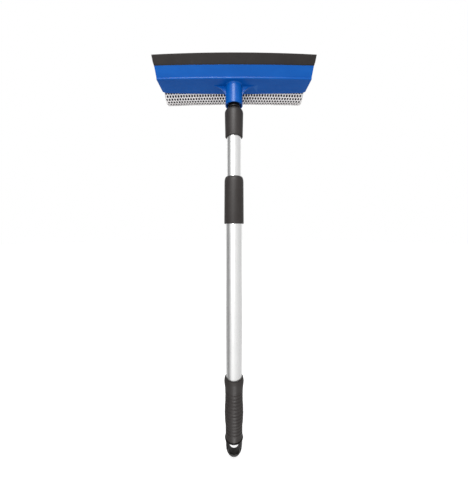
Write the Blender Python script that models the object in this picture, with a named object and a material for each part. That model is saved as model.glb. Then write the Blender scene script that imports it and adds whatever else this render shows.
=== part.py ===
"""Telescopic window washer: a squeegee blade and a net-covered sponge on an extending pole.

Frame: metres, +Z up the pole to the head, origin on the pole's axis at the middle of the hand grip.
The blade leans towards -Y (the front) and the sponge is on the +Y side (the back).
Every sub-part is one closed solid that keeps GAP to its neighbours.
"""
import math

import bmesh
import bpy
from mathutils import Matrix

MM = 0.001
GAP = 0.3 * MM

# Pole: two aluminium tubes, the inner one sliding in the outer one
OUTER_R = 12.1 * MM
OUTER_WALL = 0.9 * MM
INNER_R = 10.1 * MM
INNER_WALL = 0.85 * MM
OUTER_TOP = 338.0 * MM
INNER_BOTTOM = 70.0 * MM
INNER_TOP = 441.0 * MM
PIN_R = 1.5 * MM
PIN_HALF = 10.0 * MM
TIP_PIN_Z = 432.0 * MM
SPINDLE_PIN_Z = 82.0 * MM

# Hand grip and the hang cap below it
GRIP_TOP = 50.4 * MM
GRIP_BOTTOM = -50.1 * MM
RIB_TOP = 28.0 * MM
RIB_COUNT = 13
RIB_PITCH = 5.5 * MM
GROOVE_WIDTH = 1.5 * MM
GROOVE_DEPTH = 0.5 * MM
CAP_FLANGE_TOP = -50.4 * MM
CAP_FLANGE_R = 14.6 * MM
CAP_FLANGE_THICK = 1.8 * MM
CAP_R = 13.7 * MM
CAP_TIP = -84.5 * MM
HANG_HOLE_HALF_WIDTH = 7.2 * MM
HANG_HOLE_TOP = -52.8 * MM
HANG_HOLE_BOTTOM = -77.0 * MM

# Collars: one on the outer tube's top end, one on the inner tube's top end
TUBE_COLLAR_BOTTOM = 288.0 * MM
TUBE_COLLAR_TOP = 355.0 * MM
BUSH_SEAT = 350.0 * MM
TIP_COLLAR_BOTTOM = 410.0 * MM
TIP_COLLAR_TOP = 447.0 * MM

# Twist lock inside the outer tube
SLEEVE_BOTTOM = 38.0 * MM
SLEEVE_TOP = 64.0 * MM
SPINDLE_BOTTOM = 27.0 * MM
LOCK_PITCH = 2.0 * MM

# Threaded tip and the head's socket
MOUTH_Z = 452.5 * MM
TIP_TOP = 475.5 * MM
TIP_MINOR_R = 6.5 * MM
TIP_MAJOR_R = 7.7 * MM
TIP_PITCH = 4.0 * MM
BORE_END = 477.2 * MM

# Head: a web over the socket, a jaw for the blade in front and a wall for the pad behind
WEB_Z = 478.5 * MM
WEB_THICK = 2.5 * MM
HEAD_HALF = 103.4 * MM
JAW_FOOT_Y = -14.6 * MM
JAW_TILT = math.radians(40.0)
JAW_HEIGHT = 15.3 * MM
JAW_BACK_HEIGHT = 14.5 * MM
LIP = 2.45 * MM
SLOT = 3.1 * MM
BULB_HEIGHT = 6.5 * MM
BULB_R = 2.7 * MM
BLADE_THICK = 2.5 * MM
BLADE_TOP = 26.9 * MM
BLADE_HALF = 104.9 * MM
WALL_THICK = 2.4 * MM
WALL_TOP = 28.0 * MM
RIB_THICK = 2.0 * MM
RIB_PLACES = [-80.0 * MM, -54.0 * MM, -28.0 * MM, 28.0 * MM, 54.0 * MM, 80.0 * MM]
SOCKET_R = 12.1 * MM
SOCKET_TOP_R = 11.6 * MM
FIN_THICK = 3.0 * MM
CORNER = 4.5 * MM

# Sponge pad, leaning forward behind the head, in a net sleeve
PAD_TILT = math.radians(30.0)
PAD_LOW_Y = 30.8 * MM
PAD_LOW_Z = 485.3 * MM
PAD_STRAIGHT = 31.0 * MM
PAD_R = 14.5 * MM
PAD_HALF = 102.7 * MM
NET_THICK = 0.8 * MM
PLATE_THICK = 2.0 * MM
PLATE_LOW = 4.1 * MM
PLATE_HIGH = 29.5 * MM
PLATE_HALF = 98.0 * MM
SCREW_PLACES = [-67.0 * MM, -41.0 * MM, 41.0 * MM, 67.0 * MM]
SCREW_UP = 17.0 * MM


# ---------------------------------------------------------------- shared modelling functions

def finish(name, colour, roughness, metallic=0.0):
    """Principled material with one colour for a sub-part."""
    material = bpy.data.materials.new(name)
    material.use_nodes = True
    shader = material.node_tree.nodes["Principled BSDF"]
    shader.inputs["Base Color"].default_value = (*colour, 1.0)
    shader.inputs["Roughness"].default_value = roughness
    shader.inputs["Metallic"].default_value = metallic
    return material


def make_object(name, bm, material):
    """Close a bmesh into a named object with its faces pointing out."""
    bmesh.ops.remove_doubles(bm, verts=bm.verts, dist=0.002 * MM)
    bmesh.ops.recalc_face_normals(bm, faces=bm.faces)
    mesh = bpy.data.meshes.new(name)
    bm.to_mesh(mesh)
    bm.free()
    mesh.materials.append(material)
    mesh.shade_smooth()
    mesh.set_sharp_from_angle(angle=math.radians(35.0))
    thing = bpy.data.objects.new(name, mesh)
    bpy.context.scene.collection.objects.link(thing)
    return thing


def turned(name, outline, material, sides=48):
    """Solid of revolution about Z from an outline of (radius, z) points, closed or from axis to axis."""
    bm = bmesh.new()
    points = [bm.verts.new((radius, 0.0, z)) for radius, z in outline]
    pairs = list(zip(points, points[1:]))
    on_axis = outline[0][0] == 0.0 and outline[-1][0] == 0.0
    if not on_axis:
        pairs.append((points[-1], points[0]))
    lines = [bm.edges.new(pair) for pair in pairs]
    bmesh.ops.spin(bm, geom=points + lines, cent=(0, 0, 0), axis=(0, 0, 1),
                   angle=math.tau, steps=sides, use_merge=True)
    return make_object(name, bm, material)


def extruded(name, outline, low_x, high_x, material):
    """Prism along X from a (y, z) outline."""
    bm = bmesh.new()
    face = bm.faces.new([bm.verts.new((low_x, y, z)) for y, z in outline])
    added = bmesh.ops.extrude_face_region(bm, geom=[face])["geom"]
    moved = [item for item in added if isinstance(item, bmesh.types.BMVert)]
    bmesh.ops.translate(bm, verts=moved, vec=(high_x - low_x, 0, 0))
    return make_object(name, bm, material)


def threaded(name, low, high, minor, major, pitch, material, sides=16, rows_per_turn=5):
    """Closed rod about Z with a right-hand trapezoidal thread that fades out at both ends."""
    bm = bmesh.new()
    count = round((high - low) / pitch * rows_per_turn)
    rings = []
    for row in range(count + 1):
        z = low + (high - low) * row / count
        fade = max(0.0, min(1.0, (z - low) / pitch, (high - z) / pitch))
        ring = []
        for side in range(sides):
            turn = side / sides
            off_crest = abs((z / pitch - turn) % 1.0 - 0.5) * 2.0
            height = max(0.0, min(1.0, (0.75 - off_crest) / 0.5)) * fade
            radius = minor + (major - minor) * height
            angle = math.tau * turn
            ring.append(bm.verts.new((radius * math.cos(angle), radius * math.sin(angle), z)))
        rings.append(ring)
    for lower, upper in zip(rings, rings[1:]):
        for side in range(sides):
            after = (side + 1) % sides
            bm.faces.new((lower[side], lower[after], upper[after], upper[side]))
    bm.faces.new(rings[0][::-1])
    bm.faces.new(rings[-1])
    return make_object(name, bm, material)


def rod(name, radius, half_length, centre, axis, material, sides=16):
    """Plain cylinder centred at a point, along X, Y or Z."""
    bm = bmesh.new()
    turn = {"X": Matrix.Rotation(math.pi / 2, 4, "Y"), "Y": Matrix.Rotation(math.pi / 2, 4, "X"),
            "Z": Matrix.Identity(4)}[axis]
    bmesh.ops.create_cone(bm, cap_ends=True, segments=sides, radius1=radius, radius2=radius,
                          depth=2 * half_length, matrix=Matrix.Translation(centre) @ turn)
    return make_object(name, bm, material)


def combine(target, tool, operation):
    """Apply a Boolean of the tool to the target, and remove the tool."""
    modifier = target.modifiers.new("combine", "BOOLEAN")
    modifier.object = tool
    modifier.operation = operation
    modifier.solver = "EXACT"
    seen = target.evaluated_get(bpy.context.evaluated_depsgraph_get())
    mesh = bpy.data.meshes.new_from_object(seen)
    target.modifiers.remove(modifier)
    before = target.data
    target.data = mesh
    mesh.name = target.name
    bpy.data.meshes.remove(before)
    bpy.data.objects.remove(tool)
    mesh.shade_smooth()
    mesh.set_sharp_from_angle(angle=math.radians(35.0))
    return target


def cut(target, tool):
    return combine(target, tool, "DIFFERENCE")


def join(target, tool):
    return combine(target, tool, "UNION")


def arc(centre_a, centre_b, radius_a, radius_b, start, end, steps):
    """Points on an elliptic arc, from the start angle to the end angle in degrees."""
    points = []
    for step in range(steps + 1):
        angle = math.radians(start + (end - start) * step / steps)
        points.append((centre_a + radius_a * math.cos(angle), centre_b + radius_b * math.sin(angle)))
    return points


def tube(name, radius, wall, low, high, material):
    """Plain round tube about Z."""
    inside = radius - wall
    return turned(name, [(radius, low), (radius, high), (inside, high), (inside, low)], material)


# ---------------------------------------------------------------- the head's two leaning frames

def in_jaw(up, back):
    """(y, z) of a point in the jaw: up along the blade, back from the jaw's front face."""
    y = JAW_FOOT_Y - up * math.sin(JAW_TILT) + back * math.cos(JAW_TILT)
    z = WEB_Z + up * math.cos(JAW_TILT) + back * math.sin(JAW_TILT)
    return (y, z)


def by_pad(up, front):
    """(y, z) of a point by the pad: up along its front face, front from that face."""
    face_y = PAD_LOW_Y - PAD_R * math.cos(PAD_TILT)
    face_z = PAD_LOW_Z - PAD_R * math.sin(PAD_TILT)
    y = face_y - up * math.sin(PAD_TILT) - front * math.cos(PAD_TILT)
    z = face_z + up * math.cos(PAD_TILT) - front * math.sin(PAD_TILT)
    return (y, z)


def pad_up_at(z, front):
    """How far up the pad's face a point at height z is."""
    return (z - by_pad(0.0, front)[1]) / math.cos(PAD_TILT)


# ---------------------------------------------------------------- handle: outer tube and its fittings

def make_outer_tube(material):
    return tube("outer_tube", OUTER_R, OUTER_WALL, GRIP_BOTTOM, OUTER_TOP, material)


def grip_radius(z):
    """The hand grip's contour: a bead at the top, a swell for the palm and a waist above the cap."""
    stations = [(-50.4, 13.6), (-42.0, 13.4), (-32.0, 13.45), (-19.0, 14.45), (-9.0, 14.8),
                (2.0, 14.5), (12.0, 13.95), (21.0, 13.8), (31.0, 14.05), (44.5, 15.25), (51.0, 14.5)]
    for (low, low_r), (high, high_r) in zip(stations, stations[1:]):
        if z / MM <= high:
            share = (z / MM - low) / (high - low)
            eased = share * share * (3.0 - 2.0 * share)
            return (low_r + (high_r - low_r) * eased) * MM
    return stations[-1][1] * MM


def make_grip(material):
    """Rubber sleeve with turned grooves below a plain top."""
    bore = OUTER_R + GAP
    outline = [(bore, GRIP_TOP), (bore + 1.2 * MM, GRIP_TOP)]
    for z in (49.6, 46.5, 43.0, 39.5, 36.0, 32.0):
        outline.append((grip_radius(z * MM), z * MM))
    for groove in range(RIB_COUNT):
        middle = RIB_TOP - groove * RIB_PITCH
        for offset, depth in ((0.5, 0.0), (0.0, 1.0), (-0.5, 0.0)):
            z = middle + offset * GROOVE_WIDTH
            outline.append((grip_radius(z) - depth * GROOVE_DEPTH, z))
    outline += [(grip_radius(GRIP_BOTTOM), GRIP_BOTTOM + 0.8 * MM),
                (grip_radius(GRIP_BOTTOM) - 0.8 * MM, GRIP_BOTTOM), (bore, GRIP_BOTTOM)]
    return turned("grip_sleeve", outline, material, sides=24)


def make_hang_cap(material):
    """End cap: a hollow plug in the tube, a flange, and a flattened loop with a hanging hole."""
    plug = OUTER_R - OUTER_WALL - GAP
    flange_low = CAP_FLANGE_TOP - CAP_FLANGE_THICK
    round_r = CAP_FLANGE_THICK / 2
    body = turned("hang_cap", [
        (0.0, CAP_FLANGE_TOP - 1.0 * MM), (plug - 2.0 * MM, CAP_FLANGE_TOP - 1.0 * MM),
        (plug - 2.0 * MM, -30.5 * MM), (plug - 0.8 * MM, -30.0 * MM), (plug, -31.0 * MM),
        (plug, CAP_FLANGE_TOP), (CAP_FLANGE_R - round_r, CAP_FLANGE_TOP),
        *arc(CAP_FLANGE_R - round_r, CAP_FLANGE_TOP - round_r, round_r, round_r, 60, -90, 5),
        (CAP_R, flange_low), (CAP_R, CAP_TIP - 2.0 * MM), (0.0, CAP_TIP - 2.0 * MM)], material)

    # Seen from the front, the loop narrows to a round end
    round_z = -58.0 * MM
    half_low = 12.9 * MM
    fullness = 1.85
    side = [(CAP_R + MM, -20.0 * MM), (CAP_R + MM, flange_low), (CAP_R, flange_low - MM),
            (half_low, round_z)]
    steps = 12
    for step in range(1, steps + 1):
        angle = math.pi / 2 * step / steps
        across = half_low * math.cos(angle) ** (2 / fullness)
        down = (round_z - CAP_TIP) * math.sin(angle) ** (2 / fullness)
        side.append((across if step < steps else 0.0, round_z - down))
    front_view = side + [(-x, z) for x, z in side[-2::-1]]
    loop = extruded("loop", front_view, -20 * MM, 20 * MM, material)
    loop.data.transform(Matrix.Rotation(-math.pi / 2, 4, "Z"))

    # Seen from the side, it is a wedge with flat faces and a round edge
    edge_z = -79.0 * MM
    edge_half = 5.7 * MM
    shoulder = [(CAP_R + MM, -20.0 * MM), (CAP_R + MM, flange_low), (CAP_R - 0.6 * MM, flange_low)]
    around = arc(0.0, edge_z, edge_half, edge_z - CAP_TIP, -10, -170, 10)
    side_view = shoulder + around + [(-y, z) for y, z in shoulder[::-1]]
    wedge = extruded("wedge", side_view, -20 * MM, 20 * MM, material)
    body = combine(combine(body, loop, "INTERSECT"), wedge, "INTERSECT")

    # The hole's top corners have a small radius and its foot is a half circle
    corner = 1.6 * MM
    inner = HANG_HOLE_HALF_WIDTH - corner
    hole = arc(inner, HANG_HOLE_TOP - corner, corner, corner, 0, 90, 4)
    hole += arc(-inner, HANG_HOLE_TOP - corner, corner, corner, 90, 180, 4)
    hole += arc(0.0, HANG_HOLE_BOTTOM + HANG_HOLE_HALF_WIDTH, HANG_HOLE_HALF_WIDTH,
                HANG_HOLE_HALF_WIDTH, 180, 360, 14)
    opening = extruded("opening", hole, -20 * MM, 20 * MM, material)
    opening.data.transform(Matrix.Rotation(-math.pi / 2, 4, "Z"))
    return cut(body, opening)


def make_tube_collar(material):
    """Ferrule on the outer tube's end, which holds the guide bush for the inner tube."""
    bottom_r = 14.3 * MM
    shoulder_r = 13.75 * MM
    shoulder_z = 347.0 * MM
    top_r = 11.0 * MM
    inside = OUTER_R + GAP
    throat = INNER_R + GAP
    outline = [(inside, TUBE_COLLAR_BOTTOM), (bottom_r - 0.8 * MM, TUBE_COLLAR_BOTTOM),
               (bottom_r, TUBE_COLLAR_BOTTOM + 0.8 * MM)]
    outline += arc(top_r, shoulder_z, shoulder_r - top_r, TUBE_COLLAR_TOP - shoulder_z, 0, 90, 6)
    outline += [(throat, TUBE_COLLAR_TOP), (throat, BUSH_SEAT), (inside, BUSH_SEAT)]
    return turned("tube_collar", outline, material)


def make_guide_bush(material):
    low = OUTER_TOP + GAP
    high = BUSH_SEAT - GAP
    outside = OUTER_R
    inside = INNER_R + GAP
    return turned("guide_bush", [(outside, low), (outside, high), (inside, high), (inside, low)],
                  material)


# ---------------------------------------------------------------- twist lock inside the outer tube

def make_expander_sleeve(material):
    """Split sleeve that the cone spreads against the outer tube."""
    outside = OUTER_R - OUTER_WALL - GAP
    sleeve = turned("expander_sleeve", [
        (outside, SLEEVE_BOTTOM), (outside, SLEEVE_TOP), (5.2 * MM, SLEEVE_TOP),
        (5.2 * MM, SLEEVE_TOP - 3.0 * MM), (7.0 * MM, SLEEVE_TOP - 4.0 * MM),
        (9.8 * MM, SLEEVE_BOTTOM)], material, sides=32)
    slit_outline = [(-14 * MM, SLEEVE_BOTTOM - MM), (0.0, SLEEVE_BOTTOM - MM),
                    (0.0, SLEEVE_TOP + MM), (-14 * MM, SLEEVE_TOP + MM)]
    return cut(sleeve, extruded("slit", slit_outline, -1.4 * MM, 1.4 * MM, material))


def make_lock_cone(material):
    """Cone nut on the spindle, kept from turning by a key in the sleeve's slit."""
    taper = (9.8 - 7.0) / (SLEEVE_TOP - 4.0 * MM - SLEEVE_BOTTOM)
    low = SLEEVE_BOTTOM - 4.0 * MM
    high = SLEEVE_TOP - 6.0 * MM
    play = 0.4 * MM

    def radius(z):
        return min(9.8 * MM, (9.8 - taper * (z - SLEEVE_BOTTOM)) * MM) - play

    cone = turned("lock_cone", [
        (4.6 * MM, low), (radius(low), low), (radius(low), SLEEVE_BOTTOM),
        (radius(high), high), (4.6 * MM, high)], material, sides=32)
    key_outline = [(-10.6 * MM, low + MM), (-6.0 * MM, low + MM),
                   (-6.0 * MM, high - 3 * MM), (-10.6 * MM, high - 3 * MM)]
    return join(cone, extruded("key", key_outline, -1.0 * MM, 1.0 * MM, material))


def make_lock_spindle(material):
    """Plug pinned in the inner tube, with the threaded stem that drives the cone."""
    plug = INNER_R - INNER_WALL - GAP
    spindle = turned("lock_spindle", [
        (0.0, 31.5 * MM), (2.6 * MM, 31.5 * MM), (2.6 * MM, 52.0 * MM), (4.2 * MM, 55.0 * MM),
        (4.2 * MM, 64.5 * MM), (INNER_R - 0.4 * MM, 64.5 * MM),
        (INNER_R, 64.9 * MM), (INNER_R, INNER_BOTTOM - GAP), (plug, INNER_BOTTOM - GAP),
        (plug, 92.0 * MM), (0.0, 92.0 * MM)], material, sides=32)
    thread = threaded("thread", SPINDLE_BOTTOM + 3.4 * MM, 54.4 * MM, 3.4 * MM, 4.2 * MM,
                      LOCK_PITCH, material, sides=12, rows_per_turn=4)
    stub = rod("stub", 2.2 * MM, 4.0 * MM, (0, 0, SPINDLE_BOTTOM + 4.2 * MM), "Z", material)
    spindle = join(join(spindle, thread), stub)
    return cut(spindle, rod("hole", PIN_R + GAP, 15 * MM, (0, 0, SPINDLE_PIN_Z), "X", material))


def make_spindle_stop(material):
    """Retaining ring on the spindle's lower end."""
    low = SPINDLE_BOTTOM + 0.8 * MM
    high = SPINDLE_BOTTOM + 2.4 * MM
    return turned("spindle_stop", [(6.8 * MM, low), (6.8 * MM, high), (2.5 * MM, high),
                                   (2.5 * MM, low)], material, sides=24)


def make_pin(name, z, material):
    return rod(name, PIN_R, PIN_HALF, (0, 0, z), "X", material)


# ---------------------------------------------------------------- upper pole

def make_inner_tube(material):
    inner = tube("inner_tube", INNER_R, INNER_WALL, INNER_BOTTOM, INNER_TOP, material)
    for z in (TIP_PIN_Z, SPINDLE_PIN_Z):
        inner = cut(inner, rod("hole", PIN_R + GAP, 15 * MM, (0, 0, z), "X", material))
    return inner


def make_tip_collar(material):
    """Sleeve over the inner tube's top end, rounded at its top."""
    bottom_r = 12.4 * MM
    shoulder_r = 13.0 * MM
    shoulder_z = 441.5 * MM
    top_r = 9.3 * MM
    inside = INNER_R + GAP
    throat = 8.3 * MM
    seat = INNER_TOP + GAP
    outline = [(inside, TIP_COLLAR_BOTTOM), (bottom_r - 0.6 * MM, TIP_COLLAR_BOTTOM),
               (bottom_r, TIP_COLLAR_BOTTOM + 0.6 * MM)]
    outline += arc(top_r, shoulder_z, shoulder_r - top_r, TIP_COLLAR_TOP - shoulder_z, 0, 90, 6)
    outline += [(throat, TIP_COLLAR_TOP), (throat, seat), (inside, seat)]
    return turned("tip_collar", outline, material)


def make_threaded_tip(material):
    """Plug in the inner tube's end, with a neck, a ring and the thread for the head."""
    plug = INNER_R - INNER_WALL - GAP
    ring_r = 8.7 * MM
    neck_r = 7.2 * MM
    tip = turned("threaded_tip", [
        (0.0, 422.0 * MM), (plug - 0.6 * MM, 422.0 * MM), (plug, 423.0 * MM),
        (plug, INNER_TOP - GAP), (8.0 * MM, INNER_TOP), (8.0 * MM, 447.2 * MM),
        (neck_r, 447.8 * MM), (neck_r, 448.8 * MM), (ring_r - 0.5 * MM, 449.1 * MM),
        (ring_r, 449.7 * MM), (ring_r, 450.6 * MM), (ring_r - 0.5 * MM, 451.2 * MM),
        (neck_r, 451.5 * MM), (neck_r, 453.0 * MM), (5.6 * MM, 454.6 * MM),
        (5.6 * MM, 470.0 * MM), (0.0, 470.0 * MM)], material, sides=40)
    tip = join(tip, threaded("thread", MOUTH_Z, TIP_TOP, TIP_MINOR_R, TIP_MAJOR_R, TIP_PITCH, material))
    return cut(tip, rod("hole", PIN_R + GAP, 15 * MM, (0, 0, TIP_PIN_Z), "X", material))


# ---------------------------------------------------------------- washer head

def head_section():
    """The head's cross-section: web, front jaw with the blade's slot, and leaning rear wall."""
    slot_middle = LIP + SLOT / 2
    slot_half_angle = math.degrees(math.asin(SLOT / 2 / BULB_R))
    bead_r = 1.4 * MM
    bead_back = 0.2 * MM
    bead_up = (bead_r - bead_back * math.sin(JAW_TILT)) / math.cos(JAW_TILT)
    wall_front = 2 * GAP + PLATE_THICK + WALL_THICK
    wall_back = 2 * GAP + PLATE_THICK
    web_top = WEB_Z + WEB_THICK
    ledge_top = WEB_Z + 1.5 * MM
    jaw_back = LIP + SLOT + LIP
    jaw_root = (web_top - in_jaw(0.0, jaw_back)[1]) / math.cos(JAW_TILT)

    ledge_foot = by_pad(pad_up_at(WEB_Z, GAP), GAP)
    ledge_edge = by_pad(pad_up_at(ledge_top, GAP), GAP)
    points = [ledge_foot]
    points += [in_jaw(up, back) for up, back in
               arc(bead_up, bead_back, bead_r, bead_r, 180 + math.degrees(JAW_TILT), 352, 8)]
    points += [in_jaw(JAW_HEIGHT - 0.5 * MM, 0.0), in_jaw(JAW_HEIGHT, 0.5 * MM),
               in_jaw(JAW_HEIGHT, LIP)]
    points += [in_jaw(up, back) for up, back in
               arc(BULB_HEIGHT, slot_middle, BULB_R, BULB_R, -slot_half_angle,
                   slot_half_angle - 360, 12)]
    points += [in_jaw(JAW_BACK_HEIGHT, LIP + SLOT), in_jaw(JAW_BACK_HEIGHT, jaw_back),
               in_jaw(jaw_root, jaw_back)]
    points += [by_pad(pad_up_at(web_top, wall_front), wall_front), by_pad(WALL_TOP, wall_front),
               by_pad(WALL_TOP, wall_back), by_pad(pad_up_at(ledge_top, wall_back), wall_back),
               ledge_edge]
    return points


def valley_section(sunk):
    """Outline of a wall across the valley between jaw and rear wall, sunk into its neighbours."""
    jaw_back = LIP + SLOT + LIP - sunk
    wall_front = 2 * GAP + PLATE_THICK + WALL_THICK - sunk
    low = WEB_Z + WEB_THICK - sunk
    jaw_low = (low - in_jaw(0.0, jaw_back)[1]) / math.cos(JAW_TILT)
    return [by_pad(pad_up_at(low, wall_front), wall_front), by_pad(WALL_TOP - 4 * MM, wall_front),
            in_jaw(JAW_BACK_HEIGHT - 2.5 * MM, jaw_back), in_jaw(jaw_low, jaw_back)]


def make_head(material):
    head = extruded("head_body", head_section(), -HEAD_HALF, HEAD_HALF, material)
    for place in RIB_PLACES:
        rib = extruded("rib", valley_section(0.8 * MM), place - RIB_THICK / 2,
                       place + RIB_THICK / 2, material)
        head = join(head, rib)
    for side in (-1, 1):
        ends = sorted((side * (HEAD_HALF - 0.05 * MM), side * (HEAD_HALF - 2.2 * MM)))
        head = join(head, extruded("end_wall", valley_section(0.8 * MM), *ends, material))

    boss_top = WEB_Z + WEB_THICK + 1.5 * MM
    socket = turned("socket", [
        (0.0, MOUTH_Z), (SOCKET_R - 0.4 * MM, MOUTH_Z), (SOCKET_R, MOUTH_Z + 0.4 * MM),
        (SOCKET_TOP_R, WEB_Z + 0.5 * MM), (6.5 * MM, WEB_Z + MM), (6.0 * MM, boss_top),
        (0.0, boss_top)], material)
    head = join(head, socket)

    # A fin on each side of the socket, with a concave edge
    fin_r = 16.0 * MM
    fin_top = WEB_Z + MM
    for side in (-1, 1):
        curve = arc(side * 27.4 * MM, WEB_Z - fin_r, fin_r, fin_r, 90, 90 + side * 88, 10)
        outline = [(side * 8.0 * MM, fin_top), (side * 27.4 * MM, fin_top), *curve,
                   (side * 8.0 * MM, WEB_Z - fin_r)]
        fin = extruded("fin", outline, -FIN_THICK / 2, FIN_THICK / 2, material)
        fin.data.transform(Matrix.Rotation(-math.pi / 2, 4, "Z"))
        head = join(head, fin)

    # Socket bore: counterbore, then the thread that matches the tip
    counterbore = turned("counterbore", [
        (0.0, MOUTH_Z - MM), (10.7 * MM, MOUTH_Z - MM), (10.7 * MM, MOUTH_Z),
        (10.25 * MM, MOUTH_Z + 0.5 * MM), (10.25 * MM, MOUTH_Z + 4.0 * MM),
        (8.0 * MM, MOUTH_Z + 5.5 * MM), (0.0, MOUTH_Z + 5.5 * MM)], material)
    head = cut(head, counterbore)
    head = cut(head, threaded("thread", MOUTH_Z, BORE_END, TIP_MINOR_R + GAP, TIP_MAJOR_R + GAP,
                              TIP_PITCH, material))

    # Rear corners of the web and wall are cut off at 45 degrees
    for side in (-1, 1):
        edge_y = by_pad(pad_up_at(WEB_Z, GAP), GAP)[0]
        corner = [(side * (HEAD_HALF - CORNER), edge_y + MM), (side * (HEAD_HALF + MM), edge_y + MM),
                  (side * (HEAD_HALF + MM), edge_y - CORNER - MM)]
        head = cut(head, upright_prism("corner", corner, WEB_Z - MM, WEB_Z + WEB_THICK, material))

    # Clearance holes for the pad plate's screw bosses
    for place in SCREW_PLACES:
        head = cut(head, across_wall("hole", 3.7 * MM, place, 1.5 * MM, 6.0 * MM, material))
    return head


def upright_prism(name, outline, low, high, material):
    """Prism along Z from an (x, y) outline."""
    bm = bmesh.new()
    face = bm.faces.new([bm.verts.new((x, y, low)) for x, y in outline])
    added = bmesh.ops.extrude_face_region(bm, geom=[face])["geom"]
    moved = [item for item in added if isinstance(item, bmesh.types.BMVert)]
    bmesh.ops.translate(bm, verts=moved, vec=(0, 0, high - low))
    return make_object(name, bm, material)


def across_wall(name, radius, x, near, far, material, sides=16):
    """Cylinder square to the pad's face at x, from near to far in front of that face."""
    bm = bmesh.new()
    y, z = by_pad(SCREW_UP, (near + far) / 2)
    lean = Matrix.Rotation(PAD_TILT - math.pi / 2, 4, "X")
    bmesh.ops.create_cone(bm, cap_ends=True, segments=sides, radius1=radius, radius2=radius,
                          depth=far - near, matrix=Matrix.Translation((x, y, z)) @ lean)
    return make_object(name, bm, material)


def make_blade(material):
    """Rubber blade: a bulb in the jaw's slot and a strip with a square working edge."""
    middle = LIP + SLOT / 2
    bulb = BULB_R - GAP
    half = BLADE_THICK / 2
    angle = math.degrees(math.asin(half / bulb))
    local = arc(BULB_HEIGHT, middle, bulb, bulb, angle, 360 - angle, 14)
    local += [(BLADE_TOP - 0.25 * MM, middle - half), (BLADE_TOP, middle - half + 0.25 * MM),
              (BLADE_TOP, middle + half - 0.25 * MM), (BLADE_TOP - 0.25 * MM, middle + half)]
    return extruded("squeegee_blade", [in_jaw(up, back) for up, back in local],
                    -BLADE_HALF, BLADE_HALF, material)


def pad_outline(inset, steps=10):
    """The pad's leaning section with round top and bottom, drawn in by inset."""
    radius = PAD_R - inset
    local = arc(0.0, 0.0, radius, radius, 180, 360, steps)
    local += [(across, PAD_STRAIGHT + up) for across, up in arc(0, 0, radius, radius, 0, 180, steps)]
    cos, sin = math.cos(PAD_TILT), math.sin(PAD_TILT)
    return [(PAD_LOW_Y + across * cos - up * sin, PAD_LOW_Z + across * sin + up * cos)
            for across, up in local]


def make_sponge(material):
    return extruded("sponge_pad", pad_outline(NET_THICK + GAP), -PAD_HALF + NET_THICK,
                    PAD_HALF - NET_THICK, material)


def make_net(material):
    """Net sleeve round the sponge, open at both ends."""
    net = extruded("net_cover", pad_outline(0.0), -PAD_HALF, PAD_HALF, material)
    return cut(net, extruded("inside", pad_outline(NET_THICK), -PAD_HALF - MM, PAD_HALF + MM, material))


def make_backing_plate(material):
    """Plate that the net and sponge are bonded to, with a boss for each screw."""
    outline = [by_pad(PLATE_LOW, GAP), by_pad(PLATE_HIGH, GAP),
               by_pad(PLATE_HIGH, GAP + PLATE_THICK), by_pad(PLATE_LOW, GAP + PLATE_THICK)]
    plate = extruded("pad_backing_plate", outline, -PLATE_HALF, PLATE_HALF, material)
    for place in SCREW_PLACES:
        plate = join(plate, across_wall("boss", 3.3 * MM, place, GAP + MM, 4.8 * MM, material))
        plate = cut(plate, across_wall("hole", 1.6 * MM, place, 1.0 * MM, 6.0 * MM, material, 12))
    return plate


def make_pad_screws(material):
    """Pan-head screws from the valley into the plate's bosses."""
    for number, place in enumerate(SCREW_PLACES, start=1):
        screw = across_wall(f"pad_screw_{number}", 1.3 * MM, place, 1.5 * MM, 6.0 * MM, material, 12)
        screw = join(screw, across_wall("screw_head", 4.6 * MM, place, 5.3 * MM, 7.3 * MM, material))
        cut(screw, across_wall("drive", 1.4 * MM, place, 6.3 * MM, 8.0 * MM, material, 6))


# ---------------------------------------------------------------- assembly

def main():
    for thing in list(bpy.data.objects):
        bpy.data.objects.remove(thing)

    aluminium = finish("aluminium", (0.78, 0.79, 0.80), 0.28, 1.0)
    steel = finish("steel", (0.62, 0.62, 0.62), 0.35, 1.0)
    black_rubber = finish("black_rubber", (0.045, 0.042, 0.041), 0.6)
    black_plastic = finish("black_plastic", (0.05, 0.046, 0.045), 0.5)
    blade_rubber = finish("blade_rubber", (0.035, 0.033, 0.032), 0.55)
    blue_plastic = finish("blue_plastic", (0.004, 0.1, 0.46), 0.35)
    nylon = finish("nylon", (0.75, 0.74, 0.70), 0.45)
    foam = finish("foam", (0.03, 0.028, 0.028), 0.95)
    netting = finish("netting", (0.85, 0.82, 0.81), 0.7)

    make_outer_tube(aluminium)
    make_grip(black_rubber)
    make_hang_cap(black_plastic)
    make_tube_collar(black_rubber)
    make_guide_bush(nylon)

    make_expander_sleeve(nylon)
    make_lock_cone(black_plastic)

    make_inner_tube(aluminium)
    make_lock_spindle(black_plastic)
    make_spindle_stop(steel)
    make_pin("spindle_pin", SPINDLE_PIN_Z, steel)
    make_pin("tip_pin", TIP_PIN_Z, steel)
    make_tip_collar(black_rubber)
    make_threaded_tip(black_plastic)

    make_head(blue_plastic)
    make_blade(blade_rubber)
    make_backing_plate(blue_plastic)
    make_pad_screws(steel)
    make_sponge(foam)
    make_net(netting)


main()
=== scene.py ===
"""Looks of the telescopic window washer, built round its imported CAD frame.

Everything is in metres in the CAD's frame: +Z up the pole, -Y to the blade, +Y to the sponge.
"""
import math

import bmesh
import bpy
from mathutils import Matrix, Vector, noise


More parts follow.
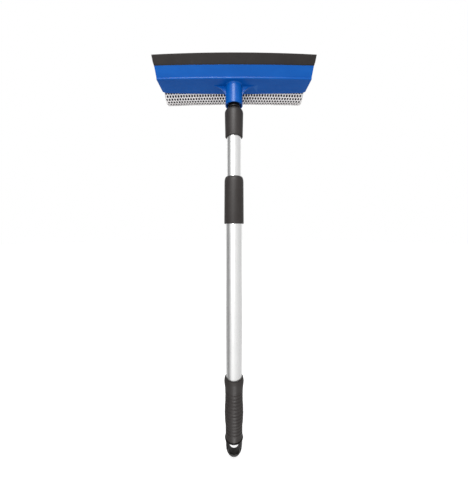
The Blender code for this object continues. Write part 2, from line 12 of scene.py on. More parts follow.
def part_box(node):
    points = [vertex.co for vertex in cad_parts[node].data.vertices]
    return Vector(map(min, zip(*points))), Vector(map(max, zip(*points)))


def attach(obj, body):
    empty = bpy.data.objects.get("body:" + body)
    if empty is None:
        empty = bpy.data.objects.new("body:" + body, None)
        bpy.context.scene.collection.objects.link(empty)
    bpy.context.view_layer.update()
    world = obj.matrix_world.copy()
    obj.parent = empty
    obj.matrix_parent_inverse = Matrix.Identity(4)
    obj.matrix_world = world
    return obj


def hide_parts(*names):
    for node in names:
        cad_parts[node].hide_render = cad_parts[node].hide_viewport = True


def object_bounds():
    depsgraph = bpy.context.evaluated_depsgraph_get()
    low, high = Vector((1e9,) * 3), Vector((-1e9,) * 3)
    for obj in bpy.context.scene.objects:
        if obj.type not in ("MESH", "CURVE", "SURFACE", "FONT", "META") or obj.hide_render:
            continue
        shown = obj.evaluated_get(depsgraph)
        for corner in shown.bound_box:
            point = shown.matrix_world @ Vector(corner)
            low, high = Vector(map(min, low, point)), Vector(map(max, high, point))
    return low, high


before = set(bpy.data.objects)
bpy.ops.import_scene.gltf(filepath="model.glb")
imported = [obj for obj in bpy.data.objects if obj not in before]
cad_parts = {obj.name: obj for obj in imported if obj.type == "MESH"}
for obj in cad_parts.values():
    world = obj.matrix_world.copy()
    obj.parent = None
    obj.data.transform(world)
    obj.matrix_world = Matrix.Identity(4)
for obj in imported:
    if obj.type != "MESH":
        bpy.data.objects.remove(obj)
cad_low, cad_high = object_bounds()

MM = 0.001
SIDES = 128

# Widths and places on the head, in the CAD's own terms
WEB_Z = 478.5 * MM
WEB_THICK = 2.5 * MM
JAW_FOOT_Y = -14.6 * MM
JAW_TILT = math.radians(40.0)
JAW_HEIGHT = 15.3 * MM
JAW_BACK_HEIGHT = 14.5 * MM
LIP = 2.45 * MM
SLOT = 3.1 * MM
BULB_HEIGHT = 6.5 * MM
BULB_R = 2.7 * MM
BLADE_THICK = 2.5 * MM
BLADE_TOP = 26.9 * MM
GAP = 0.3 * MM
PLATE_THICK = 2.0 * MM
WALL_THICK = 2.4 * MM
WALL_TOP = 28.0 * MM
FIN_THICK = 3.0 * MM
FRONT_SWEEP = 2.0 * MM
REAR_SWEEP = 2.2 * MM
SCREW_UP = 17.0 * MM

# The sponge pad leans forward behind the head
PAD_TILT = math.radians(30.0)
PAD_LOW_Y = 30.8 * MM
PAD_LOW_Z = 485.3 * MM
PAD_STRAIGHT = 31.0 * MM
PAD_R = 14.5 * MM
PAD_HALF = 102.7 * MM
PAD_LIFT = 1.5 * MM

# Net: staggered oval holes in a knitted tube
NET_THICK = 0.36 * MM
HOLE_PITCH = 4.0 * MM
NET_ROWS = 36

# Camera: millimetres of lens on a 36 mm frame, place, and degrees that it is tipped down
LENS = 16.2
CAMERA_SPOT = (0.0, -333.2 * MM, 279.0 * MM)
CAMERA_DIP = 5.1

# Studio: name, place, size, power and aimed height of each lamp. The gloss lamps only draw
# highlights, and each only on the plastic and rubber pieces at its own height
FLOOR_GAP = 0.5 * MM
FLOOR_HALF = 8.0
BACKDROP_R = 7.5
LAMPS = (("strip", (-0.27, -1.0, 0.42), (0.14, 0.8), 4.5, 0.35),
         ("key", (-0.45, -0.85, 0.75), (0.5, 0.5), 2.0, 0.35),
         ("top", (0.1, -0.2, 1.5), (0.9, 0.9), 2.0, 0.35))
GLOSS_LAMPS = (("gloss_high", (-0.08, -0.80, 0.95), (0.44, 0.6), 17.0, 0.48),
               ("gloss_low", (0.05, -0.80, -0.66), (0.24, 0.5), 8.0, 0.0))
GLOSSY = {"gloss_high": ("washer_head", "lower_collar", "upper_collar", "pole_tip"),
          "gloss_low": ("ribbed_grip", "hang_cap_loop")}

# The room's brightness by bearing in degrees from its front, negative to the left. It is dim
# below the floor's far side, so the head's underside stays deep blue
ROOM_STRENGTH = 1.12
ROOM = ((-180, 0.9), (-131, 0.9), (-120, 0.34), (-95, 0.22), (-66, 0.34), (-42, 0.84), (-24, 0.93),
        (-5, 0.93), (22, 0.80), (55, 0.70), (100, 0.60), (125, 0.62), (131, 0.9), (180, 0.9))
DIM_SHARE = 0.25
DIM_RANGES = (("Z", -0.15, -0.40), ("Y", 0.50, 0.85))


# ---------------------------------------------------------------- meshes

def link(name, bm, sharp=35.0):
    """Close a bmesh into a linked, smooth-shaded object."""
    bmesh.ops.remove_doubles(bm, verts=bm.verts, dist=0.002 * MM)
    bmesh.ops.recalc_face_normals(bm, faces=bm.faces)
    mesh = bpy.data.meshes.new(name)
    bm.to_mesh(mesh)
    bm.free()
    mesh.shade_smooth()
    mesh.set_sharp_from_angle(angle=math.radians(sharp))
    piece = bpy.data.objects.new(name, mesh)
    bpy.context.scene.collection.objects.link(piece)
    return piece


def arc(centre_a, centre_b, radius_a, radius_b, start, end, steps):
    """Points on an elliptic arc, from the start angle to the end angle in degrees."""
    points = []
    for step in range(steps + 1):
        angle = math.radians(start + (end - start) * step / steps)
        points.append((centre_a + radius_a * math.cos(angle), centre_b + radius_b * math.sin(angle)))
    return points


def skin(bm, rings):
    """Faces between neighbouring closed rings of vertices, where a ring may be a single point."""
    for near, far in zip(rings, rings[1:]):
        count = max(len(near), len(far))
        for here in range(count):
            after = (here + 1) % count
            corners = (near[here % len(near)], near[after % len(near)],
                       far[after % len(far)], far[here % len(far)])
            bm.faces.new(dict.fromkeys(corners))


def turned(name, outline, sides=SIDES):
    """Solid of revolution about Z from an outline of (radius, z) points, closed or axis to axis."""
    bm = bmesh.new()
    rings = []
    for radius, z in outline:
        angles = [math.tau * side / sides for side in range(sides if radius > 0.0 else 1)]
        rings.append([bm.verts.new((radius * math.cos(a), radius * math.sin(a), z)) for a in angles])
    if outline[0][0] > 0.0 or outline[-1][0] > 0.0:
        rings.append(rings[0])
    skin(bm, rings)
    return link(name, bm)


def prism(name, outline, low, high, axis="X"):
    """Prism along X from (y, z) points, along Y from (x, z) points or along Z from (x, y) points."""
    place = {"X": lambda a, b, c: (c, a, b), "Y": lambda a, b, c: (a, c, b),
             "Z": lambda a, b, c: (a, b, c)}[axis]
    bm = bmesh.new()
    rings = [[bm.verts.new(place(a, b, level)) for a, b in outline] for level in (low, high)]
    skin(bm, rings)
    bm.faces.new(rings[0][::-1])
    bm.faces.new(rings[1])
    return link(name, bm)


def evaluated(piece):
    """Replace a piece's mesh by what its modifiers make of it."""
    seen = piece.evaluated_get(bpy.context.evaluated_depsgraph_get())
    mesh = bpy.data.meshes.new_from_object(seen)
    piece.modifiers.clear()
    before = piece.data
    piece.data = mesh
    bpy.data.meshes.remove(before)
    mesh.name = piece.name
    return piece


def combine(piece, tool, operation):
    """Boolean a tool into or out of a piece, and drop the tool."""
    modifier = piece.modifiers.new("combine", "BOOLEAN")
    modifier.object = tool
    modifier.operation = operation
    evaluated(piece)
    bpy.data.objects.remove(tool)
    return piece


def soften(piece, width, segments=3, angle=32.0):
    """Round every outward edge that is sharper than the angle, with clean normals on the flats."""
    bm = bmesh.new()
    bm.from_mesh(piece.data)
    bmesh.ops.dissolve_degenerate(bm, dist=0.03 * MM, edges=bm.edges)
    weight = bm.edges.layers.float.new("bevel_weight_edge")
    for edge in bm.edges:
        outward = edge.is_manifold and edge.is_convex
        if outward and edge.calc_face_angle() > math.radians(angle):
            edge[weight] = 1.0
    bm.to_mesh(piece.data)
    bm.free()
    modifier = piece.modifiers.new("soften", "BEVEL")
    modifier.width = width
    modifier.segments = segments
    modifier.limit_method = "WEIGHT"
    return clean_normals(evaluated(piece))


def clean_normals(piece):
    """Smooth shading that keeps the flats flat and the creases sharp."""
    piece.data.shade_smooth()
    piece.data.set_sharp_from_angle(angle=math.radians(45.0))
    flats = piece.modifiers.new("flats", "WEIGHTED_NORMAL")
    flats.weight = 100
    flats.thresh = 0.01
    flats.keep_sharp = True
    return evaluated(piece)


def melt(piece, grain, rounds):
    """Round every edge and corner of a moulded piece, to about the grain times rounds' root."""
    remesh = piece.modifiers.new("grain", "REMESH")
    remesh.mode = "VOXEL"
    remesh.voxel_size = grain
    relax = piece.modifiers.new("relax", "SMOOTH")
    relax.factor = 0.5
    relax.iterations = rounds
    evaluated(piece)
    piece.data.shade_smooth()
    return piece


def place(piece, body, slot, look, *nodes):
    """Give a piece its material and its body, and hide the CAD nodes that it stands for."""
    piece.data.materials.clear()
    piece.data.materials.append(look)
    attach(piece, body)
    if nodes:
        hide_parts(*nodes)
    return piece


# ---------------------------------------------------------------- materials

def add_node(tree, kind, links=(), **settings):
    """Add a node, set its properties, and link or set its inputs."""
    made = tree.nodes.new(kind)
    for name, value in settings.items():
        setattr(made, name, value)
    for socket, source in dict(links).items():
        if isinstance(source, bpy.types.NodeSocket):
            tree.links.new(source, made.inputs[socket])
        else:
            made.inputs[socket].default_value = source
    return made


def fill_ramp(ramp, stops):
    """Set a colour ramp to (position, (r, g, b)) stops."""
    elements = ramp.color_ramp.elements
    while len(elements) < len(stops):
        elements.new(0.5)
    for element, (position, colour) in zip(elements, stops):
        element.position = position
        element.color = (*colour, 1.0)
    return ramp.outputs["Color"]


class Look:
    """A Principled material with short ways to add the nodes that a finish needs."""

    def __init__(self, name, roughness, metallic=0.0, **sockets):
        self.material = bpy.data.materials.new(name)
        self.material.use_nodes = True
        self.tree = self.material.node_tree
        self.shader = self.tree.nodes["Principled BSDF"]
        self.shader.inputs["Roughness"].default_value = roughness
        self.shader.inputs["Metallic"].default_value = metallic
        for socket, value in sockets.items():
            self.shader.inputs[socket.replace("_", " ")].default_value = value
        self.place = self.tree.nodes.new("ShaderNodeTexCoord").outputs["Object"]

    def node(self, kind, links=(), **settings):
        return add_node(self.tree, kind, links, **settings)

    def stretched(self, scale):
        return self.node("ShaderNodeMapping", {"Vector": self.place, "Scale": scale}).outputs[0]

    def noise(self, scale, detail=3.0, rough=0.5, stretch=None):
        vector = self.stretched(stretch) if stretch else self.place
        return self.node("ShaderNodeTexNoise", {"Vector": vector, "Scale": scale, "Detail": detail,
                                                "Roughness": rough}).outputs["Fac"]

    def cells(self, scale):
        return self.node("ShaderNodeTexVoronoi", {"Vector": self.place, "Scale": scale}).outputs["Distance"]

    def fit(self, value, low, high, to_low, to_high):
        return self.node("ShaderNodeMapRange", {"Value": value, "From Min": low, "From Max": high,
                                                "To Min": to_low, "To Max": to_high}).outputs[0]

    def math(self, operation, a, b):
        return self.node("ShaderNodeMath", {0: a, 1: b}, operation=operation).outputs[0]

    def colours(self, value, *stops):
        """Colour ramp through (position, (r, g, b)) stops."""
        return fill_ramp(self.node("ShaderNodeValToRGB", {"Fac": value}), stops)

    def mix(self, factor, a, b):
        made = self.node("ShaderNodeMix", data_type="RGBA")
        for socket, source in (("Factor_Float", factor), ("A_Color", a), ("B_Color", b)):
            target = next(s for s in made.inputs if s.identifier == socket)
            if isinstance(source, bpy.types.NodeSocket):
                self.tree.links.new(source, target)
            elif socket == "Factor_Float":
                target.default_value = source
            else:
                target.default_value = (*source, 1.0)
        return next(s for s in made.outputs if s.identifier == "Result_Color")

    def paint(self, colour=None, roughness=None, *bumps):
        """Link colour and roughness, and chain (height, strength, distance) bumps."""
        if colour is not None:
            self.tree.links.new(colour, self.shader.inputs["Base Color"])
        if roughness is not None:
            self.tree.links.new(roughness, self.shader.inputs["Roughness"])
        normal = None
        for height, strength, distance in bumps:
            links = {"Height": height, "Strength": strength, "Distance": distance}
            if normal is not None:
                links["Normal"] = normal
            normal = self.node("ShaderNodeBump", links).outputs["Normal"]
        if normal is not None:
            self.tree.links.new(normal, self.shader.inputs["Normal"])
        return self.material


def aluminium():
    """Drawn tube with a satin finish: fine lines along its length and faint handling marks."""
    look = Look("satin_aluminium", 0.3, 1.0)
    lines = look.noise(1.0, 4.0, 0.6, (2600.0, 2600.0, 14.0))
    clouds = look.noise(28.0, 3.0, 0.55)
    marks = look.noise(1.0, 2.0, 0.5, (420.0, 420.0, 60.0))
    shade = look.math("ADD", look.fit(lines, 0.3, 0.7, 0.0, 0.5), look.fit(clouds, 0.3, 0.7, 0.0, 0.5))
    colour = look.colours(shade, (0.0, (0.85, 0.85, 0.845)), (1.0, (0.95, 0.95, 0.945)))
    rough = look.fit(look.math("ADD", lines, marks), 0.7, 1.3, 0.24, 0.36)
    return look.paint(colour, rough, (lines, 0.10, 0.05 * MM))


def rubber():
    """Soft matt grip rubber: charcoal with a fine grain and a little dust."""
    look = Look("grip_rubber", 0.42, Specular_IOR_Level=0.22)
    grain = look.noise(2600.0, 4.0, 0.6)
    dust = look.noise(60.0, 6.0, 0.65)
    colour = look.colours(dust, (0.30, (0.024, 0.020, 0.0185)), (0.62, (0.031, 0.0265, 0.025)),
                          (0.85, (0.045, 0.040, 0.038)))
    rough = look.fit(look.math("ADD", grain, dust), 0.7, 1.3, 0.44, 0.60)
    return look.paint(colour, rough, (grain, 0.35, 0.06 * MM), (dust, 0.1, 0.2 * MM))


def black_plastic():
    """Moulded cap and neck: near black with a fine grain."""
    look = Look("black_plastic", 0.38, Specular_IOR_Level=0.2)
    grain = look.noise(1700.0, 3.0, 0.55)
    clouds = look.noise(45.0, 4.0, 0.6)
    colour = look.colours(clouds, (0.3, (0.007, 0.0056, 0.0054)), (0.75, (0.012, 0.010, 0.0095)))
    return look.paint(colour, look.fit(grain, 0.3, 0.7, 0.36, 0.50), (grain, 0.25, 0.05 * MM))


def blue_plastic():
    """Moulded polypropylene: deep blue, a fine grain, faint flow marks and paler rubbed edges."""
    look = Look("blue_polypropylene", 0.34, Specular_IOR_Level=0.16)
    grain = look.noise(1500.0, 3.0, 0.55)
    flow = look.noise(1.0, 4.0, 0.6, (22.0, 60.0, 60.0))
    colour = look.colours(flow, (0.28, (0.0005, 0.080, 0.365)), (0.55, (0.0010, 0.089, 0.395)),
                          (0.80, (0.0040, 0.103, 0.430)))
    edges = look.node("ShaderNodeNewGeometry").outputs["Pointiness"]
    scuffs = look.math("MULTIPLY", look.fit(edges, 0.53, 0.60, 0.0, 0.35), look.noise(300.0, 5.0, 0.7))
    colour = look.mix(scuffs, colour, (0.10, 0.26, 0.62))
    rough = look.fit(look.math("ADD", grain, flow), 0.7, 1.3, 0.27, 0.40)
    return look.paint(colour, rough, (grain, 0.16, 0.05 * MM), (flow, 0.05, 0.4 * MM))


def blade_rubber():
    """Black natural rubber, drawn lines along the strip and paler dust."""
    look = Look("blade_rubber", 0.5, Specular_IOR_Level=0.25)
    lines = look.noise(1.0, 4.0, 0.6, (30.0, 1500.0, 1500.0))
    dust = look.noise(70.0, 6.0, 0.7)
    colour = look.colours(dust, (0.3, (0.020, 0.0165, 0.015)), (0.6, (0.026, 0.022, 0.020)),
                          (0.85, (0.043, 0.038, 0.035)))
    rough = look.fit(look.math("ADD", lines, dust), 0.7, 1.3, 0.42, 0.62)
    return look.paint(colour, rough, (lines, 0.2, 0.05 * MM), (dust, 0.12, 0.15 * MM))


def foam():
    """Charcoal open-cell foam: round pores of two sizes, with painted shade darkening their insides."""
    look = Look("open_cell_foam", 0.95, Specular_IOR_Level=0.1)
    large = look.cells(1100.0)
    small = look.cells(2600.0)
    pores_and_shade = look.math("MINIMUM", look.fit(large, 0.05, 0.5, 0.0, 1.0), look.fit(small, 0.05, 0.6, 0.3, 1.0))
    # Painted shade: the colour darkens towards each pore's middle, where its hollow lies.
    colour = look.colours(pores_and_shade, (0.0, (0.003, 0.0025, 0.0025)), (0.45, (0.014, 0.012, 0.0125)),
                          (1.0, (0.034, 0.030, 0.031)))
    return look.paint(colour, None, (pores_and_shade, 0.9, 0.5 * MM))


def netting():
    """White knitted yarn: twisted filaments, a faint warm cast and painted shade that greys the creases."""
    look = Look("knitted_net", 0.7, Sheen_Weight=0.25, Sheen_Roughness=0.4)
    fibres_and_shade = look.noise(1.0, 3.0, 0.6, (5200.0, 2300.0, 2300.0))
    clouds = look.noise(90.0, 4.0, 0.6)
    colour = look.colours(clouds, (0.3, (0.82, 0.785, 0.78)), (0.65, (0.93, 0.905, 0.90)))
    # Painted shade: the yarn is mixed towards grey where the filaments' bump is low, in the creases between
    # them.
    colour = look.mix(look.fit(fibres_and_shade, 0.35, 0.65, 0.25, 0.0), colour, (0.60, 0.56, 0.56))
    return look.paint(colour, look.fit(fibres_and_shade, 0.3, 0.7, 0.6, 0.8), (fibres_and_shade, 0.5, 0.12 * MM))


def nylon():
    """Natural nylon of the bush and sleeve inside the pole."""
    look = Look("natural_nylon", 0.45, Subsurface_Weight=0.1)
    grain = look.noise(900.0, 3.0, 0.5)
    colour = look.colours(grain, (0.3, (0.68, 0.66, 0.60)), (0.7, (0.78, 0.76, 0.71)))
    return look.paint(colour, look.fit(grain, 0.3, 0.7, 0.38, 0.52), (grain, 0.15, 0.05 * MM))


def zinc_steel():
    """Zinc-plated screws and pins."""
    look = Look("zinc_plated_steel", 0.35, 1.0)
    spangle = look.cells(700.0)
    clouds = look.noise(400.0, 4.0, 0.6)
    colour = look.colours(spangle, (0.0, (0.50, 0.51, 0.53)), (0.6, (0.68, 0.69, 0.70)))
    return look.paint(colour, look.fit(clouds, 0.3, 0.7, 0.26, 0.44), (clouds, 0.15, 0.04 * MM))


def floor_paint():
    """Pale floor, lit a little from within so that it stays as plain as the photo's ground."""
    look = Look("pale_floor", 0.85, Emission_Strength=0.45)
    look.shader.inputs["Emission Color"].default_value = (1.0, 1.0, 1.0, 1.0)
    mottle = look.noise(3.0, 5.0, 0.6)
    colour = look.colours(mottle, (0.3, (0.84, 0.84, 0.84)), (0.7, (0.87, 0.87, 0.87)))
    return look.paint(colour, None, (mottle, 0.05, 1.0 * MM))


def backdrop_paint():
    """Plain white that lights nothing."""
    material = bpy.data.materials.new("backdrop_paint")
    material.use_nodes = True
    shader = material.node_tree.nodes["Principled BSDF"]
    shader.inputs["Base Color"].default_value = (0.0, 0.0, 0.0, 1.0)
    shader.inputs["Specular IOR Level"].default_value = 0.0
    shader.inputs["Emission Color"].default_value = (1.0, 1.0, 1.0, 1.0)
    shader.inputs["Emission Strength"].default_value = 1.0
    material.cycles.emission_sampling = "NONE"
    return material


# ---------------------------------------------------------------- pole

def make_tube(name, wall, body, look):
    """Drawn tube in the place of its CAD node, with deburred ends."""
    low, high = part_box(name)
    radius = high.x
    inside = radius - wall
    burr = 0.25 * MM
    piece = turned(name.replace("_tube", "_pole_tube"), [
        (radius, low.z + burr), (radius, high.z - burr), (radius - burr, high.z),
        (inside + burr, high.z), (inside, high.z - burr), (inside, low.z + burr),
        (inside + burr, low.z), (radius - burr, low.z)])
    return place(piece, body, "aluminium_tube", look, name)


# Heights and radii of the grip's contour in millimetres
GRIP_STATIONS = [(-50.4, 13.6), (-42.0, 13.4), (-32.0, 13.45), (-19.0, 14.45), (-9.0, 14.8),
                 (2.0, 14.5), (12.0, 13.95), (21.0, 13.8), (31.0, 14.05), (44.5, 15.25), (51.0, 14.5)]


def grip_radius(z):
    """The grip's contour: a bead at the top, a swell for the palm and a waist above the cap."""
    for (low, low_r), (high, high_r) in zip(GRIP_STATIONS, GRIP_STATIONS[1:]):
        if z / MM <= high:
            share = (z / MM - low) / (high - low)
            eased = share * share * (3.0 - 2.0 * share)
            return (low_r + (high_r - low_r) * eased) * MM
    return GRIP_STATIONS[-1][1] * MM


def make_grip(look):
    """Ribbed rubber sleeve: raised bands with soft shoulders between narrow turned grooves."""
    low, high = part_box("grip_sleeve")
    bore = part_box("outer_tube")[1].x + GAP
    rib_top, rib_pitch, rib_count = 28.0 * MM, 5.5 * MM, 13
    depth, half_width = 0.75 * MM, 1.0 * MM
    step = 0.3 * MM
    edge = 1.0 * MM
    outline = [(bore, high.z)]
    outline += arc(grip_radius(high.z) - edge, high.z - edge, edge, edge, 90, 0, 5)
    count = round((high.z - low.z - 2 * edge) / step)
    for row in range(1, count):
        z = high.z - edge - (high.z - low.z - 2 * edge) * row / count
        nearest = min(max(round((rib_top - z) / rib_pitch), 0), rib_count - 1)
        off = abs(z - (rib_top - nearest * rib_pitch)) / half_width
        groove = depth * math.exp(-(off ** 4)) if off < 2.0 else 0.0
        outline.append((grip_radius(z) - groove, z))
    outline += arc(grip_radius(low.z) - edge, low.z + edge, edge, edge, 0, -90, 5)
    outline.append((bore, low.z))
    return place(turned("ribbed_grip", outline, 96), "handle", "grip_rubber", look, "grip_sleeve")


def make_collar(name, node, top_r, shoulder_r, shoulder_z, bottom_r, throat, seat, body, look):
    """Black sleeve with a rounded top and a softened lower edge."""
    low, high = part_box(node)
    edge = 0.7 * MM
    inside = {"tube_collar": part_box("outer_tube"), "tip_collar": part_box("inner_tube")}[node][1].x + GAP
    outline = [(inside, low.z + 0.3 * MM), (inside + 0.3 * MM, low.z)]
    outline += arc(bottom_r - edge, low.z + edge, edge, edge, -90, 0, 5)
    outline += arc(top_r, shoulder_z, shoulder_r - top_r, high.z - shoulder_z, 0, 90, 18)
    outline += [(throat + 0.2 * MM, high.z), (throat, high.z - 0.2 * MM), (throat, seat), (inside, seat)]
    return place(turned(name, outline), body, "grip_rubber", look, node)


def make_threaded_tip(look):
    """Neck, ring and thread between the upper tube and the head's socket."""
    low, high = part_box("threaded_tip")
    thread_low = 452.5 * MM
    plug, seat, neck, ring = 8.95 * MM, 8.0 * MM, 7.2 * MM, 8.7 * MM
    core, core_top = 5.6 * MM, 470.0 * MM
    ring_soft = 0.7 * MM
    piece = turned("pole_tip", [
        (0.0, low.z), (plug - 0.6 * MM, low.z), (plug, low.z + MM), (plug, 440.7 * MM),
        (seat, 441.0 * MM), (seat, 447.0 * MM), (neck, 447.8 * MM), (neck, 448.7 * MM),
        *arc(ring - ring_soft, 450.2 * MM, ring_soft, 1.1 * MM, -80, 80, 8),
        (neck, 451.6 * MM), (neck, 453.0 * MM), (core, 454.6 * MM), (core, core_top),
        (0.0, core_top)], 96)
    bm = bmesh.new()
    pitch, minor, major = 4.0 * MM, 6.5 * MM, 7.7 * MM
    sides, rows = 64, 96
    rings = []
    for row in range(rows + 1):
        z = thread_low + (high.z - thread_low) * row / rows
        fade = max(0.0, min(1.0, (z - thread_low) / pitch, (high.z - z) / pitch))
        ring_points = []
        for side in range(sides):
            off_crest = abs((z / pitch - side / sides) % 1.0 - 0.5) * 2.0
            crest = max(0.0, min(1.0, (0.75 - off_crest) / 0.5)) * fade
            radius = minor + (major - minor) * crest
            angle = math.tau * side / sides
            ring_points.append(bm.verts.new((radius * math.cos(angle), radius * math.sin(angle), z)))
        rings.append(ring_points)
    skin(bm, rings)
    bm.faces.new(rings[0][::-1])
    bm.faces.new(rings[-1])
    combine(piece, link("thread", bm), "UNION")
    return place(piece, "upper_pole", "black_plastic", look, "threaded_tip")


def make_hang_cap(look):
    """End cap: plug, flange, and a flattened loop with a well-rounded hanging hole."""
    low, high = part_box("hang_cap")
    reach = 20.0 * MM
    flange_top = -50.4 * MM
    flange_r = high.x
    flange_low = flange_top - 1.8 * MM
    round_r = 0.9 * MM
    cap_r = 13.7 * MM
    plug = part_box("outer_tube")[1].x - 1.2 * MM
    tip = low.z
    plate_low = flange_low - 1.5 * MM
    piece = turned("hang_cap_loop", [
        (0.0, plate_low), (cap_r - 1.2 * MM, plate_low), (cap_r - 0.2 * MM, flange_low),
        *arc(flange_r - round_r, flange_top - round_r, round_r, round_r, -90, 60, 8),
        (flange_r - round_r, flange_top), (plug, flange_top), (plug, high.z - MM),
        (plug - 0.8 * MM, high.z), (plug - 2.0 * MM, high.z - 0.5 * MM),
        (plug - 2.0 * MM, flange_top - MM), (0.0, flange_top - MM)])

    # The loop from the front: straight sides, then a full curve down to the tip
    round_z, half_low, fullness, steps = -58.0 * MM, 12.9 * MM, 1.85, 32
    curve = []
    for step in range(1, steps):
        angle = math.pi / 2 * step / steps
        across = half_low * math.cos(angle) ** (2 / fullness)
        down = (round_z - tip) * math.sin(angle) ** (2 / fullness)
        curve.append((across, round_z - down))
    side = [(cap_r + MM, -reach), (cap_r + MM, flange_low), (cap_r, flange_low - MM),
            (half_low, round_z), *curve, (0.0, tip)]
    outline = side + [(-x, z) for x, z in side[-2::-1]]
    ball = [(min(1.14 * x, cap_r), z) for x, z in curve]
    loop = turned("loop", [(0.0, flange_low + MM), (cap_r, flange_low + MM), (cap_r, round_z), *ball,
                           (0.0, tip)])
    combine(loop, prism("front", outline, -reach, reach, "Y"), "INTERSECT")

    # From the side: a wedge with a rounded tip
    edge_z, edge_half = -79.0 * MM, 5.7 * MM
    shoulder = [(cap_r + MM, -reach), (cap_r + MM, flange_low), (cap_r - 0.6 * MM, flange_low)]
    around = arc(0.0, edge_z, edge_half, edge_z - tip, -10, -170, 24)
    outline = shoulder + around + [(-y, z) for y, z in shoulder[::-1]]
    combine(loop, prism("wedge", outline, -reach, reach, "X"), "INTERSECT")

    # The hanging hole, square at the top and round at the bottom
    hole_half, hole_top, hole_low, corner = 7.2 * MM, -52.8 * MM, -77.0 * MM, 1.6 * MM
    outline = arc(hole_half - corner, hole_top - corner, corner, corner, 0, 90, 10)
    outline += arc(corner - hole_half, hole_top - corner, corner, corner, 90, 180, 10)
    outline += arc(0.0, hole_low + hole_half, hole_half, hole_half, 180, 360, 36)
    combine(loop, prism("opening", outline, -reach, reach, "Y"), "DIFFERENCE")
    melt(loop, 0.45 * MM, 26)
    combine(piece, loop, "UNION")
    piece.data.set_sharp_from_angle(angle=math.radians(50.0))
    return place(piece, "handle", "black_plastic", look, "hang_cap")


# ---------------------------------------------------------------- washer head

def in_jaw(up, back):
    """(y, z) of a point in the jaw: up along the blade, back from the jaw's front face."""
    y = JAW_FOOT_Y - up * math.sin(JAW_TILT) + back * math.cos(JAW_TILT)
    z = WEB_Z + up * math.cos(JAW_TILT) + back * math.sin(JAW_TILT)
    return (y, z)


def by_pad(up, front):
    """(y, z) of a point by the pad: up along its front face, front from that face."""
    face_y = PAD_LOW_Y - PAD_R * math.cos(PAD_TILT)
    face_z = PAD_LOW_Z - PAD_R * math.sin(PAD_TILT)
    y = face_y - up * math.sin(PAD_TILT) - front * math.cos(PAD_TILT)
    z = face_z + up * math.cos(PAD_TILT) - front * math.sin(PAD_TILT)
    return (y, z)


def pad_up_at(z, front):
    """How far up the pad's face the height z is, at a distance in front of that face."""
    return (z - by_pad(0.0, front)[1]) / math.cos(PAD_TILT)


def sweep(piece, half):
    """Draw the head's front back and its web's rear forward towards the ends, as moulded."""
    for vertex in piece.data.vertices:
        share = (vertex.co.x / half) ** 2
        front = max(0.0, min(1.0, (-vertex.co.y - 4.0 * MM) / (10.0 * MM)))
        rear = max(0.0, min(1.0, (vertex.co.y - 12.0 * MM) / (3.0 * MM)))
        low = 1.0 if vertex.co.z < WEB_Z + WEB_THICK + 0.2 * MM else 0.0
        vertex.co.y += share * (FRONT_SWEEP * front - REAR_SWEEP * rear * low)


def slices(piece, half, count):
    """Cut a long prism into bays along X so that it can follow a curve."""
    bm = bmesh.new()
    bm.from_mesh(piece.data)
    for number in range(1, count):
        x = -half + 2 * half * number / count
        geometry = bm.verts[:] + bm.edges[:] + bm.faces[:]
        bmesh.ops.bisect_plane(bm, geom=geometry, plane_co=(x, 0, 0), plane_no=(1, 0, 0))
    bm.to_mesh(piece.data)
    bm.free()


def head_section():
    """The head's cross-section: web, front jaw with the blade's slot, and leaning rear wall."""
    slot_middle = LIP + SLOT / 2
    slot_half_angle = math.degrees(math.asin(SLOT / 2 / BULB_R))
    bead_r, bead_back = 1.4 * MM, 0.2 * MM
    bead_up = (bead_r - bead_back * math.sin(JAW_TILT)) / math.cos(JAW_TILT)
    wall_front = 2 * GAP + PLATE_THICK + WALL_THICK
    wall_back = 2 * GAP + PLATE_THICK
    web_top = WEB_Z + WEB_THICK
    ledge_top = WEB_Z + 1.5 * MM
    jaw_back = LIP + SLOT + LIP
    jaw_root = (web_top - in_jaw(0.0, jaw_back)[1]) / math.cos(JAW_TILT)
    points = [by_pad(pad_up_at(WEB_Z, GAP), GAP)]
    points += [in_jaw(up, back) for up, back in
               arc(bead_up, bead_back, bead_r, bead_r, 180 + math.degrees(JAW_TILT), 352, 20)]
    points += [in_jaw(JAW_HEIGHT, 0.0), in_jaw(JAW_HEIGHT, LIP)]
    points += [in_jaw(up, back) for up, back in
               arc(BULB_HEIGHT, slot_middle, BULB_R, BULB_R, -slot_half_angle,
                   slot_half_angle - 360, 20)]
    points += [in_jaw(JAW_BACK_HEIGHT, LIP + SLOT), in_jaw(JAW_BACK_HEIGHT, jaw_back),
               in_jaw(jaw_root, jaw_back)]
    points += [by_pad(pad_up_at(web_top, wall_front), wall_front), by_pad(WALL_TOP, wall_front),
               by_pad(WALL_TOP, wall_back), by_pad(pad_up_at(ledge_top, wall_back), wall_back),
               by_pad(pad_up_at(ledge_top, GAP), GAP)]
    return points


def valley_section(sunk):
    """Outline of a wall across the valley between jaw and rear wall, sunk into both."""
    jaw_back = LIP + SLOT + LIP - sunk
    wall_front = 2 * GAP + PLATE_THICK + WALL_THICK - sunk
    low = WEB_Z + WEB_THICK - sunk
    jaw_low = (low - in_jaw(0.0, jaw_back)[1]) / math.cos(JAW_TILT)
    return [by_pad(pad_up_at(low, wall_front), wall_front), by_pad(WALL_TOP - 4 * MM, wall_front),
            in_jaw(JAW_BACK_HEIGHT - 2.5 * MM, jaw_back), in_jaw(jaw_low, jaw_back)]


def across_wall(name, radius, x, near, far):
    """Cylinder square to the pad's face at x, from near to far in front of that face."""
    bm = bmesh.new()
    y, z = by_pad(SCREW_UP, (near + far) / 2)
    lean = Matrix.Rotation(PAD_TILT - math.pi / 2, 4, "X")
    bmesh.ops.create_cone(bm, cap_ends=True, segments=32, radius1=radius, radius2=radius,
                          depth=far - near, matrix=Matrix.Translation((x, y, z)) @ lean)
    return link(name, bm)


SCREW_PLACES = [-67.0 * MM, -41.0 * MM, 41.0 * MM, 67.0 * MM]
RIB_PLACES = [-80.0 * MM, -54.0 * MM, -28.0 * MM, 28.0 * MM, 54.0 * MM, 80.0 * MM]


